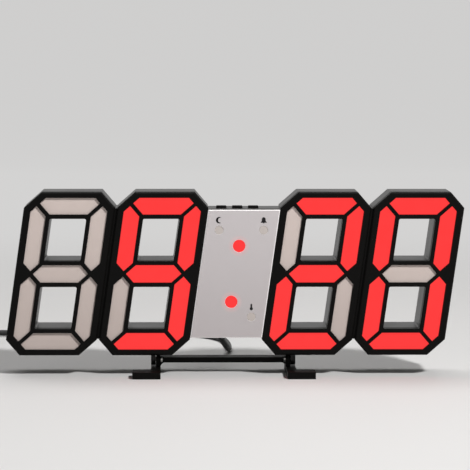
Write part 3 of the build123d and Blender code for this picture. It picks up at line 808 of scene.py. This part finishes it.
def solid_boxes(node: str) -> list[tuple[Vector, Vector]]:
    """The boxes of a node's separate solids.

    Args:
        node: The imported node's name.

    Returns:
        The lowest and highest corner of each solid, from the highest solid down.
    """
    form = merged(node)
    waiting = set(form.verts)
    boxes = []
    while waiting:
        reached = [waiting.pop()]
        for vert in reached:
            for edge in vert.link_edges:
                other = edge.other_vert(vert)
                if other in waiting:
                    waiting.discard(other)
                    reached.append(other)
        low = Vector(min(vert.co[axis] for vert in reached) for axis in range(3))
        high = Vector(max(vert.co[axis] for vert in reached) for axis in range(3))
        boxes.append((low, high))
    form.free()
    return sorted(boxes, key=lambda box: (-round(box[1].z, 4), box[0].x))


def softened(node: str, body: str, width: float, palette: Palette, finish: Finish) -> bpy.types.Object:
    """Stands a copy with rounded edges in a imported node's place.

    Args:
        node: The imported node's name.
        body: The body that it rides on.
        width: The width of the rounding.
        palette: The finished materials.
        finish: The piece's finish.

    Returns:
        The new piece.
    """
    form = merged(node)
    bmesh.ops.dissolve_limit(form, angle_limit=FLAT_ANGLE, verts=form.verts, edges=form.edges)
    mesh = bpy.data.meshes.new(f"{node}_moulding")
    form.to_mesh(mesh)
    form.free()
    piece = add_object(f"{node}_moulding", mesh)
    bevel = piece.modifiers.new("edges", "BEVEL")
    bevel.width = width
    bevel.segments = EDGE_SEGMENTS
    bevel.limit_method = "ANGLE"
    bevel.angle_limit = EDGE_ANGLE
    bevel.use_clamp_overlap = True
    applied(piece)
    smooth_by_angle(piece, SHADE_DEGREES)
    normals = piece.modifiers.new("normals", "WEIGHTED_NORMAL")
    normals.keep_sharp = True
    applied(piece)
    palette.dress(piece, finish)
    return stand_in(piece, body, finish, node)


def smooth_by_angle(piece: bpy.types.Object, degrees: float) -> None:
    """Smooths a mesh's shading except over edges sharper than the angle."""
    piece.data.shade_smooth()
    piece.data.set_sharp_from_angle(angle=math.radians(degrees))


def stand_in(piece: bpy.types.Object, body: str, finish: Finish, *nodes: str) -> bpy.types.Object:
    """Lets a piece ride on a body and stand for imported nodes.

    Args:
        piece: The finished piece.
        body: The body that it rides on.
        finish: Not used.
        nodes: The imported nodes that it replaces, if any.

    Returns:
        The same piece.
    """
    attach(piece, body)
    if nodes:
        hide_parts(*nodes)
    LOG.info("%s rides on %s", piece.name, body)
    return piece


@dataclass
class Mouldings:
    """The black mouldings: front frame, rear cover, stand, buttons and the cell's door."""

    palette: Palette
    case_round: float = 0.14 * MM
    small_round: float = 0.1 * MM
    pieces: dict[str, tuple[str, Finish]] = field(
        default_factory=lambda: {
            "front_frame": (CASE, Finish.FRAME),
            "rear_cover": (CASE, Finish.COVER),
            "stand": ("stand", Finish.FRAME),
            "cell_door": ("cell_door", Finish.COVER),
            "set_button": ("set_button", Finish.FRAME),
            "up_button": ("up_button", Finish.FRAME),
            "down_button": ("down_button", Finish.FRAME),
        }
    )

    def build(self) -> None:
        """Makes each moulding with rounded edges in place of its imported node."""
        for node, (body, finish) in self.pieces.items():
            width = self.case_round if body == CASE else self.small_round
            softened(node, body, width, self.palette, finish)


@dataclass
class Display:
    """Lenses of the digits and of the panel, and the lamps, boxes and boards behind them."""

    palette: Palette
    digits: tuple[str, ...] = ("hour_tens", "hour_units", "minute_tens", "minute_units")

    def build(self, nodes: dict[str, bpy.types.Object]) -> None:
        """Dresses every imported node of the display.

        Args:
            nodes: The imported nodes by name.
        """
        finishes = {"colon_lenses": Finish.LIT, "indicator_lenses": Finish.INDICATOR}
        endings = {
            "lenses_lit": Finish.LIT,
            "lenses_unlit": Finish.UNLIT,
            "light_box": Finish.BOX,
            "lamp_board": Finish.BOARD,
            "lamps": Finish.RESIN,
        }
        for digit in self.digits:
            finishes.update({f"{digit}_{ending}": finish for ending, finish in endings.items()})
        for name, finish in finishes.items():
            # The blank first digit has no lit lenses.
            if name in nodes:
                self.palette.dress(nodes[name], finish)
                LOG.info("%s dressed", name)


@dataclass
class ColonPanel:
    """The panel between the digit pairs, with a printed sign over each indicator."""

    palette: Palette
    sign_rise: float = 4.7 * MM
    sign_half: float = 1.5 * MM
    ink_thickness: float = 0.05 * MM
    edge_round: float = 0.12 * MM
    arc_steps: int = 20

    @staticmethod
    def finish() -> PanelPlastic:
        """Works out the panel's finish, with its painted glow placed round the colon's dots.

        Returns:
            The finish.
        """
        low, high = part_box("centre_panel")
        boxes = solid_boxes("colon_lenses")
        dots = [(corner + other) / 2 for corner, other in boxes]
        return PanelPlastic(
            # Painted shade from top to foot, a painted bevel highlight and a painted glow round the dots.
            top=(0.56, 0.525, 0.53),
            shaded_foot=(0.49, 0.455, 0.458),
            edge=(0.8, 0.77, 0.76),
            painted_bevel_light=(0.22, 0.215, 0.215),
            glow=(0.75, 0.45, 0.45),
            shade_heights=(low.z, high.z),
            dots=tuple((dot.x, low.y, dot.z) for dot in dots),
            dot_radius=(dots[0] - boxes[0][0]).x,
        )

    def build(self) -> None:
        """Makes the softened panel and its three signs: moon, bell and thermometer."""
        softened("centre_panel", CASE, self.edge_round, self.palette, Finish.PANEL)
        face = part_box("centre_panel")[0].y
        outlines = (self.moon(), self.bell(), self.thermometer())
        for (low, high), (name, outline) in zip(solid_boxes("indicator_lenses"), outlines):
            centre = (low + high) / 2
            self.sign(name, outline, Vector((centre.x, face, centre.z + self.sign_rise)))

    def arc(self, centre: tuple[float, float], radius: float, start: float, end: float) -> Outline:
        """Points along an arc.

        Args:
            centre: The arc's centre, in shares of the sign's half size.
            radius: Its radius, in the same shares.
            start: Its first angle, in degrees.
            end: Its last angle.

        Returns:
            The points, from the first angle to the last.
        """
        steps = range(self.arc_steps + 1)
        angles = [math.radians(start + (end - start) * n / self.arc_steps) for n in steps]
        return [(centre[0] + radius * math.cos(a), centre[1] + radius * math.sin(a)) for a in angles]

    def moon(self) -> tuple[str, Outline]:
        """Draws a crescent.

        Returns:
            The sign's name and outline.
        """
        outer = self.arc((0.0, 0.0), 1.0, 50.0, 310.0)
        inner = self.arc((0.45, 0.0), 0.785, 282.6, 77.4)
        return "moon_sign", outer + inner[1:-1]

    def bell(self) -> tuple[str, Outline]:
        """Draws a bell.

        Returns:
            The sign's name and outline.
        """
        dome = self.arc((0.0, 0.3), 0.6, 0.0, 180.0)
        skirt = [(0.95, -0.78), (0.95, -0.62), (0.62, -0.35)]
        clapper = self.arc((0.0, -0.78), 0.24, 180.0, 360.0)
        return "bell_sign", dome + [(-x, z) for x, z in reversed(skirt)] + clapper + skirt

    def thermometer(self) -> tuple[str, Outline]:
        """Draws a thermometer.

        Returns:
            The sign's name and outline.
        """
        bulb = self.arc((0.0, -0.55), 0.5, 122.0, 418.0)
        top = self.arc((0.0, 0.74), 0.265, 0.0, 180.0)
        return "thermometer_sign", bulb + top

    def sign(self, name: str, outline: Outline, centre: Vector) -> None:
        """Prints one sign as a thin solid on the panel's face.

        Args:
            name: The piece's name.
            outline: Its outline in shares of its half size.
            centre: Its place on the face.
        """
        form = bmesh.new()
        back = [form.verts.new(centre + Vector((x, 0.0, z)) * self.sign_half) for x, z in outline]
        face = form.faces.new(back)
        raised = bmesh.ops.extrude_face_region(form, geom=[face])["geom"]
        lifted = [item for item in raised if isinstance(item, bmesh.types.BMVert)]
        bmesh.ops.translate(form, verts=lifted, vec=(0.0, -self.ink_thickness, 0.0))
        piece = mesh_piece(name, form)
        self.palette.dress(piece, Finish.INK)
        stand_in(piece, CASE, Finish.INK)


@dataclass
class InnerWorks:
    """The boards and components inside the case, and the coin cell."""

    palette: Palette
    finishes: dict[str, Finish] = field(
        default_factory=lambda: {
            "main_board": Finish.BOARD,
            "panel_lamps": Finish.RESIN,
            "clock_chip": Finish.CHIP,
            "timing_crystal": Finish.STEEL,
            "buzzer": Finish.CHIP,
            "temperature_sensor": Finish.CHIP,
            "push_switches": Finish.CHIP,
            "link_leads": Finish.RIBBON,
            "board_screws": Finish.STEEL,
            "cell_holder": Finish.CHIP,
            "backup_cell": Finish.STEEL,
            "supply_socket": Finish.CHIP,
            "hinge_pins": Finish.STEEL,
            "plug_barrel": Finish.STEEL,
            "usb_shell": Finish.STEEL,
        }
    )

    def build(self, nodes: dict[str, bpy.types.Object]) -> None:
        """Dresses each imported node.

        Args:
            nodes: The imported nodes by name.
        """
        for name, finish in self.finishes.items():
            self.palette.dress(nodes[name], finish)
            LOG.info("%s dressed", name)


@dataclass
class CaseScrews:
    """The case screws, with a cross recess in each head."""

    palette: Palette
    head_radius: float = 1.7 * MM
    head_height: float = 1.2 * MM
    shank_radius: float = 0.8 * MM
    slot_width: float = 0.5 * MM
    slot_length: float = 2.1 * MM
    slot_depth: float = 0.7 * MM
    head_sides: int = 40
    shank_sides: int = 16
    turn_seed: int = 4
    shade_degrees: float = 30.0

    def tree(self) -> NodeGroup:
        """Builds the tree that sets one screw on each point, turned by chance, with its axis along Y.

        Returns:
            The tree.
        """
        number = "NodeSocketFloat"
        sizes = {
            "Head Radius": number,
            "Head Height": number,
            "Shank Radius": number,
            "Shank Length": number,
            "Slot Size": "NodeSocketVector",
        }
        group = NodeGroup("cross_head_screws", sizes)
        given = group.inputs
        head = group.node(
            "GeometryNodeMeshCylinder",
            {},
            {"Vertices": self.head_sides, "Radius": given["Head Radius"], "Depth": given["Head Height"]},
        )
        slots = []
        product = {"operation": "MULTIPLY"}
        for turn in (0.0, math.pi / 2):
            bar = group.node("GeometryNodeMeshCube", {}, {"Size": given["Slot Size"]})
            lift = group.node("ShaderNodeMath", product, {0: given["Head Height"], 1: 0.5})
            place = group.node("ShaderNodeCombineXYZ", {}, {"Z": lift[0]})
            turned = group.node(
                "GeometryNodeTransform",
                {},
                {"Geometry": bar[0], "Translation": place[0], "Rotation": (0.0, 0.0, turn)},
            )
            slots.append(turned[0])
        cross = group.node("GeometryNodeMeshBoolean", {"operation": "UNION"}, {"Mesh 2": slots})
        cut = group.node("GeometryNodeMeshBoolean", {"operation": "DIFFERENCE"}, {0: head[0], 1: cross[0]})
        shank = group.node(
            "GeometryNodeMeshCylinder",
            {},
            {"Vertices": self.shank_sides, "Radius": given["Shank Radius"], "Depth": given["Shank Length"]},
        )
        sink = group.node("ShaderNodeMath", product, {0: given["Shank Length"], 1: -0.5})
        under = group.node("ShaderNodeCombineXYZ", {}, {"Z": sink[0]})
        low = group.node("GeometryNodeTransform", {}, {"Geometry": shank[0], "Translation": under[0]})
        screw = group.node("GeometryNodeJoinGeometry", {}, {0: [cut[0], low[0]]})
        chance = group.node(
            "FunctionNodeRandomValue",
            {"data_type": "FLOAT"},
            {"Min": 0.0, "Max": math.pi, "Seed": self.turn_seed},
        )
        spin = group.node("ShaderNodeCombineXYZ", {}, {"X": -math.pi / 2, "Y": chance["Value"]})
        points = group.node("GeometryNodeMeshToPoints", {}, {0: given["Geometry"]})
        placed = group.node(
            "GeometryNodeInstanceOnPoints",
            {},
            {"Points": points[0], "Instance": screw[0], "Rotation": spin[0]},
        )
        group.close(placed[0])
        return group

    def build(self) -> None:
        """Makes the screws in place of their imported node."""
        boxes = solid_boxes("case_screws")
        points = []
        for low, high in boxes:
            middle = (low + high) / 2
            points.append(Vector((middle.x, high.y - self.head_height / 2, middle.z)))
        sizes = {
            "Head Radius": self.head_radius,
            "Head Height": self.head_height,
            "Shank Radius": self.shank_radius,
            "Shank Length": boxes[0][1].y - boxes[0][0].y - self.head_height / 2,
            "Slot Size": (self.slot_length, self.slot_width, 2 * self.slot_depth),
            "Material": self.palette.materials[Finish.STEEL],
        }
        piece = self.tree().run("cross_head_screws", points, sizes)
        smooth_by_angle(piece, self.shade_degrees)
        stand_in(piece, CASE, Finish.STEEL, "case_screws")


@dataclass
class SupplyLead:
    """The supply lead: its jacket along the route and coil, the plugs' grips, relief ribs and the tie."""

    palette: Palette
    diameter: float = 3.0 * MM
    length: float = 1.1895
    route: tuple[Place, ...] = (
        (-0.0175, 0.0369, 0.0278),
        (-0.0175, 0.0445, 0.0278),
        (-0.0146, 0.0520, 0.0236),
        (-0.0099, 0.0580, 0.0156),
        (-0.0046, 0.0650, 0.0082),
        (-0.0014, 0.0750, 0.0024),
        (-0.0006, 0.0880, 0.0015),
        (-0.0010, 0.1080, 0.0015),
        (-0.0034, 0.1260, 0.0015),
        (-0.0120, 0.1410, 0.0015),
        (-0.0300, 0.1496, 0.0015),
        (-0.0600, 0.1514, 0.0015),
        (-0.0940, 0.1494, 0.0015),
        (-0.1240, 0.1480, 0.0021),
        (-0.1415, 0.1480, 0.0021),
    )
    coil_x: float = -144.5 * MM
    coil_radius: float = 24.6 * MM
    coil_step: float = 3.5 * MM
    layer_step: float = 3.45 * MM
    half_turns: int = 8
    points_per_half: int = 9
    tail: float = 13.0 * MM
    tail_shares: tuple[float, ...] = (0.1, 0.55, 1.0)
    jacket_resolution: int = 5
    grip_round: float = 0.2 * MM
    usb_round: float = 0.25 * MM
    tie_round: float = 0.1 * MM
    plug_relief: float = 8.0 * MM
    plug_rib_radius: float = 2.9 * MM
    usb_relief: float = 9.0 * MM
    usb_rib_radius: float = 2.6 * MM
    rib_end_radius: float = 1.85 * MM
    rib_margin: float = 0.8 * MM
    rib_count: int = 5
    rib_thickness: float = 0.32 * MM
    rib_sides: int = 40
    rib_section_sides: int = 10

    def half_turn(
        self, centre: Vector, radius: float, start: float, sweep: float, climb: float
    ) -> list[Vector]:
        """Control points of a half or quarter turn that the spline follows at its radius.

        Args:
            centre: The turn's centre, at the height where it starts.
            radius: The radius of the lead's line.
            start: The angle where the turn starts.
            sweep: How far it turns, in radians, clockwise if negative.
            climb: How far it rises.

        Returns:
            The control points, between the turn's ends.
        """
        count = max(2, round(self.points_per_half * abs(sweep) / math.pi))
        step = sweep / count
        # Beside each control point, a spline of order 3 runs at this share of the point's own radius.
        wide = radius / (0.75 + 0.25 * math.cos(step))
        points = []
        for n in range(count):
            share = (n + 0.5) / count
            angle = start + sweep * share
            offset = Vector((wide * math.cos(angle), wide * math.sin(angle), climb * share))
            points.append(centre + offset)
        return points

    def coil(self) -> list[Vector]:
        """Winds the coil: in along the lower layer, up, out along the upper one, and the tail.

        Returns:
            The control points.
        """
        half_step = self.coil_step / 2
        inner = self.coil_radius - self.half_turns * half_step
        start = Vector(self.route[-1])
        at = Vector((self.coil_x, start.y, start.z))
        radii = [(self.coil_radius - n * half_step, 0.0) for n in range(self.half_turns)]
        radii += [(inner, self.layer_step)]
        radii += [(inner + (n + 1) * half_step, 0.0) for n in range(self.half_turns - 1)]
        points = [at.copy()]
        for n, (radius, climb) in enumerate(radii):
            side = 1 if n % 2 == 0 else -1
            centre = at - Vector((0.0, side * radius, 0.0))
            points += self.half_turn(centre, radius, side * math.pi / 2, math.pi, climb)
            at = centre - Vector((0.0, side * radius, -climb))
        centre = at - Vector((0.0, self.coil_radius, 0.0))
        points += self.half_turn(centre, self.coil_radius, math.pi / 2, math.pi / 2, 0.0)
        end = centre - Vector((self.coil_radius, 0.0, 0.0))
        return points + [end - Vector((0.0, share * self.tail, 0.0)) for share in self.tail_shares]

    def jacket(self) -> bpy.types.Object:
        """Makes the lead's jacket as one open curve.

        Returns:
            The curve's object.
        """
        curve = bpy.data.curves.new("supply_lead", "CURVE")
        curve.dimensions = "3D"
        curve.bevel_depth = self.diameter / 2
        curve.bevel_resolution = self.jacket_resolution
        curve.resolution_u = self.jacket_resolution
        curve.use_fill_caps = True
        points = [Vector(point) for point in self.route] + self.coil()
        spline = curve.splines.new("NURBS")
        spline.points.add(len(points) - 1)
        for target, point in zip(spline.points, points):
            target.co = (*point, 1.0)
        spline.order_u = 3
        spline.use_endpoint_u = True
        spline.use_smooth = True
        piece = add_object("supply_lead", curve)
        self.palette.dress(piece, Finish.CORD)
        return piece

    def rib_tree(self) -> NodeGroup:
        """Builds the tree that sets tapering rings along Y.

        Returns:
            The tree.
        """
        number = "NodeSocketFloat"
        sizes = {
            "Rib Count": "NodeSocketInt",
            "Spacing": number,
            "Ring Radius": number,
            "Rib Thickness": number,
            "End Share": number,
        }
        group = NodeGroup("relief_ribs", sizes)
        given = group.inputs
        circle = "GeometryNodeCurvePrimitiveCircle"
        ring = group.node(circle, {}, {"Resolution": self.rib_sides, "Radius": given["Ring Radius"]})
        section = group.node(
            circle, {}, {"Resolution": self.rib_section_sides, "Radius": given["Rib Thickness"]}
        )
        rib = group.node("GeometryNodeCurveToMesh", {}, {0: ring[0], 1: section[0]})
        along = group.node("ShaderNodeCombineXYZ", {}, {"Y": given["Spacing"]})
        line = group.node("GeometryNodeMeshLine", {}, {"Count": given["Rib Count"], "Offset": along[0]})
        index = group.node("GeometryNodeInputIndex", {}, {})
        last = group.node("ShaderNodeMath", {"operation": "SUBTRACT"}, {0: given["Rib Count"], 1: 1.0})
        share = group.node("ShaderNodeMath", {"operation": "DIVIDE"}, {0: index[0], 1: last[0]})
        taper = group.node(
            "ShaderNodeMapRange", {}, {"Value": share[0], "To Min": 1.0, "To Max": given["End Share"]}
        )
        ribs = group.node(
            "GeometryNodeInstanceOnPoints",
            {},
            {"Points": line[0], "Instance": rib[0], "Rotation": (math.pi / 2, 0.0, 0.0), "Scale": taper[0]},
        )
        group.close(ribs[0])
        return group

    def ribs(self, group: NodeGroup, name: str, end: Vector, relief: float, radius: float) -> None:
        """Sets the ribs on one strain relief.

        Args:
            group: The rib tree.
            name: The piece's name.
            end: The relief's narrow end, on its axis, where the lead leaves it.
            relief: The relief's length, back from that end along Y.
            radius: The radius of its widest rib.
        """
        sizes = {
            "Rib Count": self.rib_count,
            "Spacing": (relief - 2 * self.rib_margin) / (self.rib_count - 1),
            "Ring Radius": radius,
            "Rib Thickness": self.rib_thickness,
            "End Share": self.rib_end_radius / radius,
            "Material": self.palette.materials[Finish.CORD],
        }
        piece = group.run(name, [Vector()], sizes)
        start = end - Vector((0.0, relief - self.rib_margin, 0.0))
        piece.data.transform(Matrix.Translation(start))
        piece.data.shade_smooth()
        stand_in(piece, CASE, Finish.CORD)

    def build(self, nodes: dict[str, bpy.types.Object]) -> None:
        """Args:
            nodes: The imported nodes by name.
        """
        jacket = self.jacket()
        stand_in(jacket, CASE, Finish.CORD, "power_cord", "cord_coil")
        grip = softened("supply_plug", CASE, self.grip_round, self.palette, Finish.CORD)
        usb = softened("usb_plug", CASE, self.usb_round, self.palette, Finish.CORD)
        tie = softened("cord_tie", CASE, self.tie_round, self.palette, Finish.FRAME)
        group = self.rib_tree()
        plug_end, usb_end = Vector(self.route[0]), self.coil()[-1]
        self.ribs(group, "plug_relief_ribs", plug_end, self.plug_relief, self.plug_rib_radius)
        self.ribs(group, "usb_relief_ribs", usb_end, self.usb_relief, self.usb_rib_radius)
        on_lead = [grip, usb, tie, nodes["usb_shell"], nodes["plug_barrel"]]
        on_lead + ["plug_relief_ribs", "usb_relief_ribs"]


@dataclass(frozen=True)
class Lamp:
    """One soft lamp: its place, its width and height, and its power in watts."""

    name: str
    place: Place
    size: tuple[float, float]
    power: float

    def build(self, aim: Place) -> None:
        """Adds the lamp.

        Args:
            aim: The point that it faces.
        """
        data = bpy.data.lights.new(self.name, "AREA")
        data.shape = "RECTANGLE"
        data.size, data.size_y = self.size
        data.energy = self.power
        lamp = add_object(self.name, data)
        lamp.location = self.place
        way = Vector(aim) - Vector(self.place)
        lamp.rotation_euler = way.to_track_quat("-Z", "Y").to_euler()


@dataclass
class Studio:
    """A pale sweep, soft lamps and the camera at the photograph's place."""

    camera_place: Place = (-0.0314, -1.2614, 0.1686)
    pitch: float = -4.671
    yaw: float = -1.42
    roll: float = -0.1
    focal_pixels: float = 2700.0
    image_pixels: float = 470.0
    sensor: float = 36.0
    clip_start: float = 0.01
    floor_colour: Colour = (0.72, 0.71, 0.7)
    floor_change: float = 1.04
    floor_cloud: float = 0.4
    backdrop_colour: Colour = (0.62, 0.615, 0.61)
    far_floor: tuple[float, float] = (0.12, 0.9)
    half_width: float = 3.0
    front: float = -2.2
    back: float = 1.6
    bend: float = 0.5
    bend_steps: int = 12
    top: float = 2.2
    world_strength: float = 0.09
    aim: Place = (0.0, 0.0, 0.045)
    lamps: tuple[Lamp, ...] = (
        Lamp("key", (0.62, -0.95, 1.15), (0.16, 0.16), 21.9),
        Lamp("fill", (-1.0, -1.0, 0.6), (0.9, 0.9), 0.4),
        Lamp("top", (-0.1, 0.45, 1.2), (1.2, 0.6), 6.0),
    )

    def camera(self) -> None:
        """Sets the camera."""
        data = bpy.data.cameras.new("camera")
        data.sensor_width = self.sensor
        data.sensor_fit = "HORIZONTAL"
        data.lens = self.sensor * self.focal_pixels / self.image_pixels
        data.clip_start = self.clip_start
        camera = add_object("camera", data)
        camera.location = self.camera_place
        turn = (math.radians(90.0 + self.pitch), math.radians(self.roll), math.radians(self.yaw))
        camera.rotation_euler = Euler(turn, "XYZ")
        bpy.context.scene.camera = camera

    def sweep(self) -> None:
        """Lays the floor, which curves up into a backdrop far behind the clock."""
        profile = [(self.front, 0.0), (self.back, 0.0)]
        for n in range(1, self.bend_steps + 1):
            angle = math.pi / 2 * n / self.bend_steps
            profile.append((self.back + self.bend * math.sin(angle), self.bend * (1.0 - math.cos(angle))))
        profile.append((self.back + self.bend, self.top))
        form = bmesh.new()
        rows = [[form.verts.new((side * self.half_width, y, z)) for side in (-1, 1)] for y, z in profile]
        for near, far in zip(rows, rows[1:]):
            form.faces.new((near[0], near[1], far[1], far[0])).smooth = True
        mesh = bpy.data.meshes.new("sweep")
        form.to_mesh(mesh)
        form.free()
        floor = add_object("sweep", mesh)
        floor.data.materials.append(self.sweep_material())

    def sweep_material(self) -> bpy.types.Material:
        """Makes a pale matt finish, whose far part shows one even tone to the camera and in gloss.

        Returns:
            The material.
        """
        tree = ShaderTree.named("pale_sweep")
        point = tree.place()
        cloud = tree.noise(point, self.floor_cloud)
        pale = tuple(self.floor_change * part for part in self.floor_colour)
        colour = tree.mix(cloud, self.floor_colour, pale)
        far = tree.shown() * tree.distance(point, (0.0, 0.0, 0.0)).ramp(*self.far_floor)
        dark = (0.0, 0.0, 0.0)
        return tree.surface(
            {
                "Base Color": tree.mix(far, colour, dark),
                "Roughness": 0.7,
                "Specular IOR Level": 0.1,
                "Emission Color": tree.mix(far, dark, self.backdrop_colour),
                "Emission Strength": 1.0,
            }
        )

    def world(self) -> None:
        """Lights everything softly from all round, and shows the backdrop's tone."""
        tree = ShaderTree(bpy.data.worlds.new("soft_world"))
        white = opaque((1.0, 1.0, 1.0))
        soft = tree.value("ShaderNodeBackground", {}, {"Color": white, "Strength": self.world_strength})
        seen = tree.value("ShaderNodeBackground", {}, {"Color": opaque(self.backdrop_colour)})
        light = tree.value("ShaderNodeMixShader", {}, {0: tree.shown(), 1: soft, 2: seen})
        tree.node("ShaderNodeOutputWorld", {}, {"Surface": light})
        bpy.context.scene.world = tree.owner

    def build(self) -> None:
        """Sets the whole studio."""
        bpy.context.scene.view_settings.view_transform = "Standard"
        self.world()
        self.sweep()
        for lamp in self.lamps:
            lamp.build(self.aim)
        self.camera()


def main() -> None:
    """Builds the clock's looks, sub-assembly by sub-assembly."""
    logging.basicConfig(level=logging.INFO, format="%(name)s: %(message)s")
    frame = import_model()
    nodes = frame["nodes"]
    Studio().build()
    palette = Palette(ColonPanel.finish())
    SupplyLead(palette).build(nodes)
    Mouldings(palette).build()
    Display(palette).build(nodes)
    ColonPanel(palette).build()
    InnerWorks(palette).build(nodes)
    CaseScrews(palette).build()


if __name__ == "__main__":
    main()
